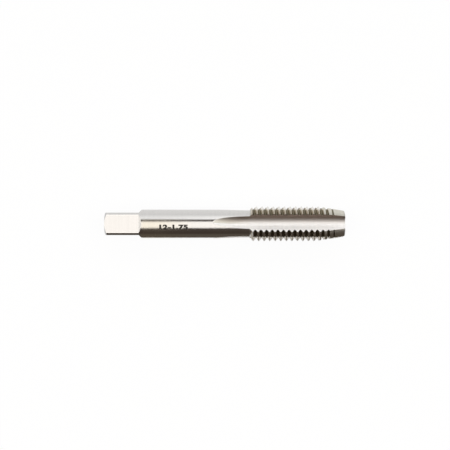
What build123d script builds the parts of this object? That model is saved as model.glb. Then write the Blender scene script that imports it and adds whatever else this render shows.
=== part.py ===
from build123d import *
from math import acos, asin, ceil, cos, degrees, radians, sin, tan
import os

# Hand tap M12 x 1.75, right hand, with four straight flutes and a second-cut lead.
# All lengths are in millimetres and all angles in degrees.
# The tap is modelled standing on its drive end, with Z along its axis, the way it would sit
# between centres. At the end it is laid down along +X, with one flute facing up.

# whole tool
tap_length = 75.0
shank_diameter = 9.0

# drive square
square_across_flats = 7.0
square_length = 10.7
square_runout_slope = 50.0
drive_end_diameter = 7.1
drive_end_chamfer = 0.65

# thread
thread_diameter = 12.0
thread_root_diameter = 9.85
thread_pitch = 1.75
thread_length = 28.7
flank_angle = 60.0
crest_flat = 0.22
groove_phase = 0.12
shoulder_slope = 55.0

# lead
lead_length = 8.0
lead_angle = 11.0
lead_relief = 0.2
tip_chamfer = 0.25

# flutes
flute_count = 4
land_angle = 34.5
first_edge_angle = 59.5
hook_angle = 18.0
web_diameter = 5.7
floor_radius = 1.2
flute_overrun = 0.4
wheel_diameter = 100.0
wheel_tilt = 15.0

# centre holes in both ends
centre_mouth_diameter = 3.35
centre_pilot_diameter = 1.6
centre_depth = 3.5
centre_cone_angle = 60.0
drill_point_angle = 118.0

# how far each cutting tool runs past the surface that it cuts
clear = 1.0

shank_radius = shank_diameter / 2
crest_radius = thread_diameter / 2
root_radius = thread_root_diameter / 2
thread_start = tap_length - thread_length
shoulder_start = thread_start - (crest_radius - shank_radius) / tan(radians(shoulder_slope))


def polar(radius, angle):
    """Point on a circle about the tap's axis, at an angle from X."""
    return Vector(radius * cos(radians(angle)), radius * sin(radians(angle)))


# Drive square: one flat is milled along the shank and runs out into it on a slope.
flat_height = square_across_flats / 2
flat_rise = shank_radius + clear - flat_height
flat_runout = flat_rise / tan(radians(square_runout_slope))

with BuildPart() as flat_cutter:
    with BuildSketch(Plane.XZ):
        with BuildLine():
            Polyline(
                (flat_height, -clear),
                (flat_height, square_length),
                (flat_height + flat_rise, square_length + flat_runout),
                (flat_height + flat_rise, -clear),
                close=True,
            )
        make_face()
    extrude(amount=shank_radius + clear, both=True)

# Centre hole: a pilot with a drill point, and the cone that the centre bears on.
mouth_radius = centre_mouth_diameter / 2
pilot_radius = centre_pilot_diameter / 2
cone_slope = tan(radians(centre_cone_angle / 2))
cone_depth = (mouth_radius - pilot_radius) / cone_slope
point_depth = pilot_radius / tan(radians(drill_point_angle / 2))

with BuildPart() as centre_drill:
    with BuildSketch(Plane.XZ):
        with BuildLine():
            Polyline(
                (0, clear),
                (mouth_radius + clear * cone_slope, clear),
                (pilot_radius, -cone_depth),
                (pilot_radius, -centre_depth),
                (0, -centre_depth - point_depth),
                close=True,
            )
        make_face()
    revolve(axis=Axis.Z)

# Lead of one land: a cone and a tip chamfer turned about an axis that is shifted square to the
# cutting edge, so that the land falls away from the edge towards its heel.
lead_start = tap_length - lead_length
lead_slope = tan(radians(lead_angle))
chamfer_start = tap_length - tip_chamfer
chamfer_radius = crest_radius - (chamfer_start - lead_start) * lead_slope
outer_radius = crest_radius + lead_relief + clear
lead_cut_start = lead_start - (outer_radius - crest_radius) / lead_slope
land_middle = first_edge_angle - land_angle / 2
half_sector = 180 / flute_count
sector_reach = 2 * outer_radius
relief_centre = polar(lead_relief, first_edge_angle + 90)

with BuildPart() as lead_cutter:
    with BuildSketch(Plane(relief_centre, x_dir=(1, 0, 0), z_dir=(0, -1, 0))):
        with BuildLine():
            Polyline(
                (outer_radius, lead_cut_start),
                (chamfer_radius, chamfer_start),
                (chamfer_radius - tip_chamfer - clear, tap_length + clear),
                (outer_radius, tap_length + clear),
                close=True,
            )
        make_face()
    revolve(axis=Axis(relief_centre, (0, 0, 1)))
    with BuildSketch(Plane.XY.offset(lead_cut_start)):
        with BuildLine():
            Polyline(
                (0, 0),
                polar(sector_reach, land_middle - half_sector),
                polar(sector_reach, land_middle),
                polar(sector_reach, land_middle + half_sector),
                close=True,
            )
        make_face()
    extrude(amount=tap_length + clear - lead_cut_start, mode=Mode.INTERSECT)

# Flute: the hook face is an arc that leans back under its cutting edge and comes down to touch the
# web. A tighter floor arc turns up from there into the straight wall below the next land's heel.
# The section runs straight from the tip to a little short of the thread's start. Towards the shank
# it is swung up on the rim of the grinding wheel, which leans towards the hook face.
web_radius = web_diameter / 2
wheel_radius = wheel_diameter / 2
heel_angle = first_edge_angle + 360 / flute_count - land_angle
cutting_edge = polar(crest_radius, first_edge_angle)
heel_edge = polar(crest_radius, heel_angle)
hook_direction = polar(1, first_edge_angle + hook_angle)
hook_offset = crest_radius * sin(radians(hook_angle))
hook_radius = (crest_radius**2 - web_radius**2) / (web_radius + hook_offset) / 2
hook_centre = cutting_edge + polar(hook_radius, first_edge_angle + hook_angle + 90)
to_web = hook_centre.normalized()
web_point = to_web * web_radius
hook_middle = hook_centre + ((cutting_edge + web_point) / 2 - hook_centre).normalized() * hook_radius
floor_centre = to_web * (web_radius + floor_radius)
heel_to_floor = floor_centre - heel_edge
heel_turn = degrees(asin(floor_radius / heel_to_floor.length))
heel_direction = -heel_to_floor.rotate(Axis.Z, -heel_turn).normalized()
floor_end = floor_centre + heel_direction.rotate(Axis.Z, 90) * floor_radius
lift_angle = (first_edge_angle + heel_angle) / 2 - wheel_tilt
full_depth_start = thread_start + flute_overrun
wheel_centre = web_point + polar(wheel_radius, lift_angle)
wheel_axis = Axis(
    wheel_centre + Vector(0, 0, full_depth_start),
    polar(1, lift_angle - 90),
)
wheel_lift = crest_radius - web_radius + clear
wheel_swing = degrees(acos(1 - wheel_lift / wheel_radius))

with BuildPart() as flute_cutter:
    with BuildSketch(Plane.XY.offset(full_depth_start)) as flute_section:
        with BuildLine():
            ThreePointArc(cutting_edge, hook_middle, web_point)
            TangentArc(web_point, floor_end, tangent=to_web.rotate(Axis.Z, 90))
            Polyline(
                floor_end,
                heel_edge + heel_direction * clear,
                cutting_edge + hook_direction * clear,
                cutting_edge,
            )
        make_face()
    extrude(amount=tap_length + clear - full_depth_start)
    revolve(flute_section.sketch, axis=wheel_axis, revolution_arc=wheel_swing)

# Thread groove: one turn, starting and ending on the X axis, which lies in a flute.
flank_slope = tan(radians(flank_angle / 2))
root_flat = thread_pitch - crest_flat - 2 * (crest_radius - root_radius) * flank_slope
groove_reach = crest_radius + crest_flat / 4 / flank_slope
groove_mouth = thread_pitch - crest_flat / 2
groove_start = thread_start - 3 * thread_pitch + groove_phase
groove_turns = ceil((tap_length + thread_pitch - groove_start) / thread_pitch)

with BuildPart() as groove_turn:
    with BuildLine():
        groove_path = Helix(
            pitch=thread_pitch,
            height=thread_pitch,
            radius=root_radius,
            center=(0, 0, groove_start),
        )
    with BuildSketch(Plane.XZ):
        with BuildLine():
            Polyline(
                (root_radius, groove_start - root_flat / 2),
                (groove_reach, groove_start - groove_mouth / 2),
                (groove_reach, groove_start + groove_mouth / 2),
                (root_radius, groove_start + root_flat / 2),
                close=True,
            )
        make_face()
    sweep(path=groove_path, is_frenet=True)

# The tap: a turned blank, then the square, the centres, the lead, the flutes and the thread.
drive_end = Plane((0, 0, 0), x_dir=(1, 0, 0), z_dir=(0, 0, -1))
tip_end = Plane.XY.offset(tap_length)

with BuildPart() as standing_tap:
    with BuildSketch(Plane.XZ):
        with BuildLine():
            Polyline(
                (0, 0),
                (drive_end_diameter / 2, 0),
                (shank_radius, drive_end_chamfer),
                (shank_radius, shoulder_start),
                (crest_radius, thread_start),
                (crest_radius, tap_length),
                (0, tap_length),
                close=True,
            )
        make_face()
    revolve(axis=Axis.Z)
    with PolarLocations(0, 4):
        add(flat_cutter.part, mode=Mode.SUBTRACT)
    with Locations(drive_end, tip_end):
        add(centre_drill.part, mode=Mode.SUBTRACT)
    with PolarLocations(0, flute_count):
        add(lead_cutter.part, mode=Mode.SUBTRACT)
        add(flute_cutter.part, mode=Mode.SUBTRACT)
    with Locations([(0, 0, turn * thread_pitch) for turn in range(groove_turns)]):
        add(groove_turn.part, clean=False, mode=Mode.SUBTRACT)

with BuildPart(Plane.YZ) as tap:
    add(standing_tap.part)

os.makedirs("parts", exist_ok=True)
tap.part.label = "tap"
export_step(tap.part, "parts/tap.step")
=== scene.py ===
import math

import bmesh
import bpy
from mathutils import Matrix


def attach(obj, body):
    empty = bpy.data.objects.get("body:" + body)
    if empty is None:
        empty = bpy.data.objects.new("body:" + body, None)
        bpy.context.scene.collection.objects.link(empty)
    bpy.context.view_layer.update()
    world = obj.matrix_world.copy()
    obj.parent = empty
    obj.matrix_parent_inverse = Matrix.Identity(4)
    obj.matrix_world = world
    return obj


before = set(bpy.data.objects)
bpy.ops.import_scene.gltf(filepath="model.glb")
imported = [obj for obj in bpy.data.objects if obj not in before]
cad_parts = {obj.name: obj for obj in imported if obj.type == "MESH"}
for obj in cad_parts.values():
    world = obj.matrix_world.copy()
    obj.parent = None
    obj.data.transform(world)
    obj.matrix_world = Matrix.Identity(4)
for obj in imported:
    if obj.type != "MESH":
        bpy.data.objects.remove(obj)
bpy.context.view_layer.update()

# A hand tap on its side: bright ground steel with its size burnt onto the shank.
# It runs along X from the drive square to the tip. One flat and one flute face up.

scene = bpy.context.scene


class Wire:
    # A shader socket that takes part in ordinary arithmetic.
    def __init__(self, tree, socket=None):
        self.tree = tree
        self.socket = socket

    def node(self, kind, settings=(), sockets=(), out=0):
        made = self.tree.nodes.new("ShaderNode" + kind)
        for name, value in dict(settings).items():
            setattr(made, name, value)
        for name, value in dict(sockets).items():
            if isinstance(value, Wire):
                self.tree.links.new(value.socket, made.inputs[name])
            else:
                made.inputs[name].default_value = value
        return Wire(self.tree, made.outputs[out] if made.outputs else None)

    def math(self, operation, first, second=0.0):
        return self.node("Math", {"operation": operation}, {0: first, 1: second})

    def __add__(self, other):
        return self.math("ADD", self, other)

    def __radd__(self, other):
        return self.math("ADD", other, self)

    def __sub__(self, other):
        return self.math("SUBTRACT", self, other)

    def __rsub__(self, other):
        return self.math("SUBTRACT", other, self)

    def __mul__(self, other):
        return self.math("MULTIPLY", self, other)

    def __rmul__(self, other):
        return self.math("MULTIPLY", other, self)

    def __truediv__(self, other):
        return self.math("DIVIDE", self, other)

    def root(self):
        return self.math("SQRT", self)

    def size(self):  # without its sign
        return self.math("ABSOLUTE", self)

    def atLeast(self, other):
        return self.math("MAXIMUM", self, other)

    def parts(self):  # the three components of a vector
        return [self.node("SeparateXYZ", sockets={"Vector": self}, out=axis) for axis in "XYZ"]

    def rise(self, limits):  # 0 below the lower limit, 1 above the upper one, smooth between
        sockets = {"Value": self, "From Min": limits[0], "From Max": limits[1]}
        return self.node("MapRange", {"interpolation_type": "SMOOTHSTEP"}, sockets)

    def fall(self, limits):  # the other way round
        return 1 - self.rise(limits)

    def noise(self, scale, detail):  # over a place, about -0.5 to 0.5
        sockets = {"Vector": self, "Scale": scale, "Detail": detail}
        return self.node("TexNoise", sockets=sockets) - 0.5

    def stretched(self, scales):  # a place with each axis scaled by itself
        return self.node("VectorMath", {"operation": "MULTIPLY"}, {0: self, 1: scales})

    def blend(self, amount, first, second):  # a colour between two
        sockets = {"Factor": amount, 6: first, 7: second}
        return self.node("Mix", {"data_type": "RGBA"}, sockets, out=2)

    def tinted(self, amount):  # a colour made darker or lighter
        return self.node("VectorMath", {"operation": "SCALE"}, {0: self, "Scale": amount})


def newMaterial(name):
    material = bpy.data.materials.new(name)
    material.use_nodes = True
    material.node_tree.nodes.clear()
    return material, Wire(material.node_tree)


def finishMaterial(start, shader):
    start.node("OutputMaterial", sockets={"Surface": shader})


# The tap's finishes, some with painted light and shade, and where they lie. Lengths are in metres. A
# pair says where a zone starts to show and where it is full, or the other way round where it ends.
steel = {
    "shankColour": (0.65, 0.638, 0.62, 1),
    "strawColour": (0.65, 0.615, 0.54, 1),  # faint heat tint beside the square
    # painted highlight on the run-out facets beside the square
    "runoutHighlightColour": (0.97, 0.94, 0.90, 1),
    "chamferColour": (0.48, 0.475, 0.47, 1),
    "threadColour": (0.54, 0.488, 0.40, 1),
    # painted shade in the thread's roots
    "rootShadeColour": (0.20, 0.175, 0.12, 1),
    "wornColour": (0.86, 0.845, 0.82, 1),
    "leadColour": (0.62, 0.60, 0.53, 1),
    "fluteColour": (0.71, 0.698, 0.683, 1),
    "fluteStartColour": (0.58, 0.56, 0.505, 1),
    # painted highlight on the flutes' heel walls
    "heelHighlightColour": (0.93, 0.922, 0.91, 1),
    # painted shade on the flutes' hook faces
    "hookShadeColour": (0.20, 0.155, 0.125, 1),
    "boreColour": (0.16, 0.147, 0.134, 1),
    "wornShare": 0.85,  # how much of the film is gone from crests and corners
    "crestShadeNearEdge": 0.85,  # painted shade: how much of the crests' brightening is held back near a cutting edge
    # roughness of each zone, and what some places add to it
    "shankRoughness": 0.195,
    "squareRoughness": 0.17,
    "runoutRoughness": 0.55,
    "threadRoughness": 0.24,
    "leadRoughness": 0.33,
    "fluteRoughness": 0.48,
    "heelRoughness": 0.85,
    "strawRoughness": 0.05,
    "boreRoughness": 0.2,
    # zones along the tap
    "chamferEnd": (0.0007, 0.0008),
    "driveBoreEnd": (0.006, 0.007),
    "squareEnd": (0.0125, 0.013),
    "runoutStart": (0.01, 0.0105),
    "runoutEnd": (0.013, 0.0135),
    "strawStart": (0.0105, 0.0125),
    "strawEnd": (0.0145, 0.030),
    "hookStart": (0.031, 0.045),
    "fluteStart": (0.0333, 0.0336),
    "paleFluteStart": (0.038, 0.046),
    "threadStart": (0.0453, 0.0459),
    "leadStart": (0.067, 0.068),
    "tipBoreStart": (0.068, 0.069),
    # zones by distance from the axis
    "boreRim": (0.0018, 0.0019),
    "hookRadius": (0.0021, 0.0042),
    "squareCorner": (0.0026, 0.0028),
    "squareFlat": (0.0036, 0.0044),
    "rootRadius": (0.00495, 0.0053),
    "crestRadius": (0.0053, 0.0058),
    "edgeRadius": (0.0057, 0.0060),
    "skinRadius": 0.00447,  # just under the shank's skin
    "skinDrop": 0.00012,  # how much lower that is past the shoulder
    "skinDepth": (-0.00002, 0.0),
    # zones by the way that a surface faces, as parts of its normal
    "endFacing": (0.93, 0.97),
    "chamferFacing": (0.5, 0.6),
    "runoutFacing": (0.6, 0.7),
    "leadFacing": (0.1, 0.16),
    "leadOutward": (0.95, 0.97),
    "strawSide": (0.2, 0.4),
    "wallFacing": (0.4, 0.6),
    "hookFacing": (0.05, 0.4),
    "heelFacing": (0.0, 0.35),
    # zones by a wave about the axis that is 1 at each cutting edge
    "edgeCount": 4,
    "edgeAngle": 59.5,  # of one cutting edge about the axis, from +Y towards +Z, in degrees
    "nearEdge": (-0.1, 0.9),
    "atEdge": (0.5, 1.0),
    # patterns: the scale of a place, and the noise's own scale and detail
    "cloud": (180.0, 4.0),
    "specks": (2500.0, 3.0),
    "ringStretch": (9000, 60, 60),
    "bandStretch": (1400, 12, 12),
    "grainStretch": (60, 7000, 7000),
    "streakStretch": (25, 1800, 1800),
    "plain": (1.0, 2.0),
    "fine": (1.0, 3.0),
    # how much each pattern shades, roughens and lifts the surface
    "cloudShade": 0.06,
    "speckShade": 0.3,
    "bandShade": 0.1,
    "streakShade": 0.3,
    # painted shade on the thread near each cutting edge
    "edgePaintedShade": 0.18,
    "cloudRoughness": 0.08,
    "grainRoughness": 0.1,
    "grainBump": 0.12,
    "fluteGrainBump": 0.3,
    "bumpDistance": 0.00002,
}


def tapZones(start, place):
    # Masks over the tap's surface, each 1 inside its zone and 0 outside.
    x, y, z = place.parts()
    facingX, facingY, facingZ = start.node("TexCoord", out="Normal").parts()
    radius = (y * y + z * z).root()
    outward = (facingY * y + facingZ * z) / radius
    around = (facingZ * y - facingY * z) / radius  # positive where a face looks along the cut
    sloping = facingX.size()

    ends = sloping.rise(steel["endFacing"])
    alongBores = 1 - x.rise(steel["driveBoreEnd"]) * x.fall(steel["tipBoreStart"])
    bores = radius.fall(steel["boreRim"]) * alongBores
    body = (1 - ends) * (1 - bores)

    square = x.fall(steel["squareEnd"]) * (outward * radius).fall(steel["squareFlat"]) * (1 - ends)
    corners = square * (around * radius).size().rise(steel["squareCorner"])
    runoutReach = x.rise(steel["runoutStart"]) * x.fall(steel["runoutEnd"])
    runouts = (1 - ends) * sloping.rise(steel["runoutFacing"]) * runoutReach
    chamfer = x.fall(steel["chamferEnd"]) * sloping.rise(steel["chamferFacing"]) * (1 - ends)
    besideSquare = x.rise(steel["strawStart"]) * x.fall(steel["strawEnd"]) * (1 - square)

    pastShoulder = x.rise(steel["threadStart"])
    skin = steel["skinRadius"] - pastShoulder * steel["skinDrop"]
    belowSkin = (radius - skin).fall(steel["skinDepth"])
    cut = belowSkin.atLeast(around.size().rise(steel["wallFacing"]))
    flutes = cut * x.rise(steel["fluteStart"]) * body
    hookReach = radius.rise(steel["hookRadius"]) * x.rise(steel["hookStart"])

    thread = pastShoulder * (1 - flutes) * body
    fromEdge = start.math("ARCTAN2", z, y) - math.radians(steel["edgeAngle"])
    edgeWave = start.math("COSINE", steel["edgeCount"] * fromEdge)  # 1 at each cutting edge
    # painted shade: crests near a cutting edge keep the darker thread colour
    crestShadeKept = edgeWave.rise(steel["nearEdge"]) * steel["crestShadeNearEdge"]
    crests = thread * radius.rise(steel["crestRadius"]) * (1 - crestShadeKept)
    cuttingEdges = flutes * radius.rise(steel["edgeRadius"])
    leadSlope = facingX.rise(steel["leadFacing"]) * outward.rise(steel["leadOutward"])

    return {
        "square": square,
        "runouts": runouts,
        "chamfer": chamfer,
        "besideSquare": besideSquare,
        "straw": besideSquare * facingY.fall(steel["strawSide"]),
        "thread": thread,
        # where the thread's roots get their painted shade
        "roots": thread * radius.fall(steel["rootRadius"]),
        "worn": crests.atLeast(cuttingEdges).atLeast(corners),
        # where the thread gets painted shade near each cutting edge
        "edges": thread * edgeWave.rise(steel["atEdge"]),
        "lead": thread * x.rise(steel["leadStart"]) * leadSlope,
        "flutes": flutes,
        "fluteStarts": flutes * x.fall(steel["paleFluteStart"]),
        # where the flutes' hook faces get their painted shade
        "hooks": flutes * around.rise(steel["hookFacing"]) * hookReach,
        # where the flutes' heel walls get their painted highlight
        "heels": flutes * (0 - around).rise(steel["heelFacing"]),
        "bores": bores,
    }


def steelColour(start, zones, cloud, place):
    specks = place.noise(*steel["specks"])
    bands = place.stretched(steel["bandStretch"]).noise(*steel["plain"])
    streaks = place.stretched(steel["streakStretch"]).noise(*steel["fine"])

    colour = start.blend(zones["thread"], steel["shankColour"], steel["threadColour"])
    colour = start.blend(zones["straw"], colour, steel["strawColour"])
    # painted shade in the thread's roots
    colour = start.blend(zones["roots"], colour, steel["rootShadeColour"])
    colour = start.blend(zones["flutes"], colour, steel["fluteColour"])
    colour = start.blend(zones["fluteStarts"], colour, steel["fluteStartColour"])
    # painted shade on the hook faces
    colour = start.blend(zones["hooks"], colour, steel["hookShadeColour"])
    # painted highlight on the heel walls
    colour = start.blend(zones["heels"], colour, steel["heelHighlightColour"])
    # painted highlight on the run-out facets
    colour = start.blend(zones["runouts"], colour, steel["runoutHighlightColour"])
    colour = start.blend(zones["worn"] * steel["wornShare"], colour, steel["wornColour"])
    colour = start.blend(zones["lead"], colour, steel["leadColour"])
    colour = start.blend(zones["chamfer"], colour, steel["chamferColour"])
    colour = start.blend(zones["bores"], colour, steel["boreColour"])

    shade = 1 + cloud * steel["cloudShade"] + bands * steel["bandShade"]
    shade = shade + streaks * zones["flutes"] * steel["streakShade"]
    shade = shade + specks * zones["thread"] * steel["speckShade"]
    # painted shade on the thread near each cutting edge
    shade = shade - zones["edges"] * steel["edgePaintedShade"]
    return colour.tinted(shade)


def steelRoughness(zones, cloud, grain):
    shank = steel["shankRoughness"]
    roughness = shank + cloud * steel["cloudRoughness"] + grain * steel["grainRoughness"]
    roughness = roughness + zones["square"] * (steel["squareRoughness"] - shank)
    roughness = roughness + zones["thread"] * (steel["threadRoughness"] - shank)
    roughness = roughness + zones["lead"] * (steel["leadRoughness"] - steel["threadRoughness"])
    roughness = roughness + zones["flutes"] * (steel["fluteRoughness"] - shank)
    roughness = roughness + zones["heels"] * (steel["heelRoughness"] - steel["fluteRoughness"])
    roughness = roughness + zones["runouts"] * (steel["runoutRoughness"] - shank)
    roughness = roughness + zones["besideSquare"] * steel["strawRoughness"]
    return roughness + zones["bores"] * steel["boreRoughness"]


def groundSteelWithPaintedLight():
    material, start = newMaterial("groundSteelWithPaintedLight")
    place = start.node("TexCoord", out="Object")
    zones = tapZones(start, place)
    flutes = zones["flutes"]
    cloud = place.noise(*steel["cloud"])
    rings = place.stretched(steel["ringStretch"]).noise(*steel["plain"])
    lengthwise = place.stretched(steel["grainStretch"]).noise(*steel["plain"])
    grain = rings * (1 - flutes) + lengthwise * flutes  # turned, but ground lengthwise in the flutes

    grainBump = steel["grainBump"] + flutes * (steel["fluteGrainBump"] - steel["grainBump"])
    bumpSockets = {"Strength": 1.0, "Distance": steel["bumpDistance"], "Height": grain * grainBump}
    sockets = {
        "Base Color": steelColour(start, zones, cloud, place),
        "Metallic": 1.0,
        "Roughness": steelRoughness(zones, cloud, grain),
        "Normal": start.node("Bump", sockets=bumpSockets),
    }
    finishMaterial(start, start.node("BsdfPrincipled", sockets=sockets))
    return material


camera = {
    "height": 0.300,  # above the tap's axis
    "middle": (0.03759, -0.00036),  # point of the axis plane in the middle of the picture
    "span": 0.1416,  # width of the picture at the axis
    "sensor": 36.0,
    "nearClip": 0.01,
}


def makeCamera():
    data = bpy.data.cameras.new("camera")
    data.sensor_width = camera["sensor"]
    data.lens = camera["sensor"] * camera["height"] / camera["span"]
    data.clip_start = camera["nearClip"]
    eye = bpy.data.objects.new("camera", data)
    eye.location = (*camera["middle"], camera["height"])
    scene.collection.objects.link(eye)
    scene.camera = eye


# Angles are about the tap's axis, from straight up towards +Y, in degrees.
studio = {
    "floorHeight": -0.00546,
    "floorReach": 2.0,
    "floorColour": (0.9, 0.9, 0.9, 1),
    "floorGlow": 0.93,  # share of the floor's white that no shadow dims
    "cardNear": -0.009,
    "cardLift": 0.0001,
    "cardColour": (0.117, 0.097, 0.077, 1),
    "boxDistance": 0.8,
    "creamAngles": (-35, 18.5),
    "creamEnds": (-0.9, 0.9),
    "creamColour": (1.0, 0.974, 0.946),
    "creamGlow": 1.44,
    "whiteAngles": (37, 65),
    "whiteEnds": (-0.02, 1.0),
    "whiteColour": (1.0, 1.0, 1.0),
    "whiteGlow": 0.27,
    "dark": (0.065, 0.048, 0.038, 1),
    "pale": (0.93, 0.93, 0.935, 1),
    "white": (1.0, 1.0, 1.0, 1),
    "paleFrom": 37,
    "paleTo": 88,
    "paleBlur": 0.03,  # in radians to each side of paleFrom
    "paleGain": 0.35,  # how much brighter the sky is at paleFrom than at paleTo
    "paleEnds": (0.35, 0.6),  # where the sky turns pale past the tap's two ends
    "darkFront": (-0.62, -0.5),  # but stays dark towards -Y
}


def addMesh(name, work):
    data = bpy.data.meshes.new(name)
    work.to_mesh(data)
    work.free()
    made = bpy.data.objects.new(name, data)
    scene.collection.objects.link(made)
    return made


def makeSheet(name, place):  # a large level square
    work = bmesh.new()
    bmesh.ops.create_grid(work, x_segments=1, y_segments=1, size=studio["floorReach"])
    bmesh.ops.translate(work, verts=work.verts, vec=place)
    sheet = addMesh(name, work)
    return sheet


def floorMaterial():
    material, start = newMaterial("paleFloor")
    seen = start.node("LightPath", out="Is Camera Ray")
    mirrored = start.node("LightPath", out="Is Glossy Ray")
    through = start.node("LightPath", out="Is Transmission Ray")
    shown = seen.atLeast(mirrored).atLeast(through) * studio["floorGlow"]
    paint = start.node("BsdfDiffuse", sockets={"Color": studio["floorColour"]})
    glow = start.node("Emission", sockets={"Color": studio["white"], "Strength": 1.0})
    finishMaterial(start, start.node("MixShader", sockets={0: shown, 1: paint, 2: glow}))
    return material


def makeFloor():
    floor = makeSheet("floor", (0, 0, studio["floorHeight"]))
    floor.data.materials.append(floorMaterial())


def makeDarkCard():  # darkens the tap's front side, as a card beside it does
    near = studio["cardNear"] - studio["floorReach"]
    card = makeSheet("darkCard", (0, near, studio["floorHeight"] + studio["cardLift"]))
    material, start = newMaterial("darkCard")
    glow = start.node("Emission", sockets={"Color": studio["cardColour"], "Strength": 1.0})
    finishMaterial(start, glow)
    card.data.materials.append(material)
    card.visible_camera = False
    card.visible_shadow = False
    card.visible_diffuse = False


def makeSoftbox(name):
    low, high = (math.radians(angle) for angle in studio[name + "Angles"])
    near, far = studio[name + "Ends"]
    data = bpy.data.lights.new(name + "Box", "AREA")
    data.shape = "RECTANGLE"
    data.size = far - near
    data.size_y = 2 * studio["boxDistance"] * math.tan((high - low) / 2)
    data.color = studio[name + "Colour"]
    data.energy = studio[name + "Glow"] * math.pi * data.size * data.size_y
    lamp = bpy.data.objects.new(name + "Box", data)
    turn = Matrix.Rotation(-(low + high) / 2, 4, "X")
    middle = camera["middle"][0] + (near + far) / 2
    lamp.matrix_world = turn @ Matrix.Translation((middle, 0, studio["boxDistance"]))
    lamp.visible_camera = False
    scene.collection.objects.link(lamp)


def makeWorld():
    world = bpy.data.worlds.new("studio")
    world.use_nodes = True
    world.node_tree.nodes.clear()
    scene.world = world
    start = Wire(world.node_tree)
    x, y, z = start.node("TexCoord", out="Generated").parts()
    paleFrom = math.radians(studio["paleFrom"])
    paleTo = math.radians(studio["paleTo"])
    tilt = start.math("ARCTAN2", y, z)
    behind = tilt.rise((paleFrom - studio["paleBlur"], paleFrom + studio["paleBlur"]))
    gain = 1 + studio["paleGain"] * behind * tilt.fall((paleFrom, paleTo))
    ends = x.size().rise(studio["paleEnds"]) * y.rise(studio["darkFront"])
    seen = start.node("LightPath", out="Is Camera Ray")
    sky = start.blend(behind.atLeast(ends), studio["dark"], studio["pale"]).tinted(gain)
    colour = start.blend(seen, sky, studio["white"])
    glow = start.node("Background", sockets={"Color": colour, "Strength": 1.0})
    start.node("OutputWorld", sockets={"Surface": glow})


def makeStudio():
    makeFloor()
    makeDarkCard()
    makeWorld()
    makeSoftbox("cream")
    makeSoftbox("white")


# The thread's size, burnt onto the shank in plain numbers.
mark = {
    "text": "12-1.75",
    "boldness": 0.065,  # share of the letters' own size
    "spacing": 1.12,  # of the letters, before they are fitted between the ends
    "height": 0.0016,
    "ends": (0.0172, 0.0261),
    "lowerEdge": -0.00182,  # along the shank's skin, from its top line
    "shankRadius": 0.0045,
    "lift": 0.000004,
    "stripHeight": 0.0001,
    "cutSlack": 1e-7,  # a corner this near to a cut counts as on it
    "burntColour": (0.008, 0.006, 0.004, 1),
    "scaledColour": (0.03, 0.024, 0.016, 1),
    "roughness": 0.6,
    "roughnessSpread": 0.3,
    "cloud": (4000.0, 3.0),
}


def markMaterial():
    material, start = newMaterial("burntMark")
    cloud = start.node("TexCoord", out="Object").noise(*mark["cloud"])
    sockets = {
        "Base Color": start.blend(cloud + 0.5, mark["burntColour"], mark["scaledColour"]),
        "Metallic": 0.0,
        "Roughness": mark["roughness"] + cloud * mark["roughnessSpread"],
    }
    finishMaterial(start, start.node("BsdfPrincipled", sockets=sockets))
    return material


def flatLetters():
    letters = bpy.data.curves.new("sizeMark", "FONT")
    letters.body = mark["text"]
    letters.offset = mark["boldness"]
    letters.space_character = mark["spacing"]
    flat = bpy.data.objects.new("sizeMark", letters)
    scene.collection.objects.link(flat)
    work = bmesh.new()
    work.from_mesh(bpy.data.meshes.new_from_object(flat))
    bpy.data.objects.remove(flat)
    return work


def fitLetters(work):  # to the length and height that the mark has on the shank
    left = min(vert.co.x for vert in work.verts)
    right = max(vert.co.x for vert in work.verts)
    low = min(vert.co.y for vert in work.verts)
    high = max(vert.co.y for vert in work.verts)
    start, end = mark["ends"]
    across = (end - start) / (right - left)
    upward = mark["height"] / (high - low)
    for vert in work.verts:
        vert.co.x = start + (vert.co.x - left) * across
        vert.co.y = mark["lowerEdge"] + (vert.co.y - low) * upward


def cutInStrips(work):  # so that the letters can follow the round shank
    for strip in range(1, round(mark["height"] / mark["stripHeight"])):
        bmesh.ops.bisect_plane(
            work,
            geom=work.verts[:] + work.edges[:] + work.faces[:],
            dist=mark["cutSlack"],
            plane_co=(0, mark["lowerEdge"] + strip * mark["stripHeight"], 0),
            plane_no=(0, 1, 0),
        )


def makeMark():
    work = flatLetters()
    fitLetters(work)
    cutInStrips(work)
    radius = mark["shankRadius"] + mark["lift"]
    for vert in work.verts:
        turn = vert.co.y / mark["shankRadius"]
        vert.co.y = radius * math.sin(turn)
        vert.co.z = radius * math.cos(turn)
    bmesh.ops.recalc_face_normals(work, faces=work.faces)
    if sum(face.normal.z for face in work.faces) < 0:
        bmesh.ops.reverse_faces(work, faces=work.faces)
    piece = addMesh("sizeMark", work)
    piece.data.materials.append(markMaterial())
    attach(piece, "root")


scene.view_settings.view_transform = "Standard"
makeCamera()
print("camera made")
makeStudio()
print("studio made")

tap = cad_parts["tap"]
tap.data.materials.clear()
tap.data.materials.append(groundSteelWithPaintedLight())
print("tap finished")
makeMark()
print("size mark made")
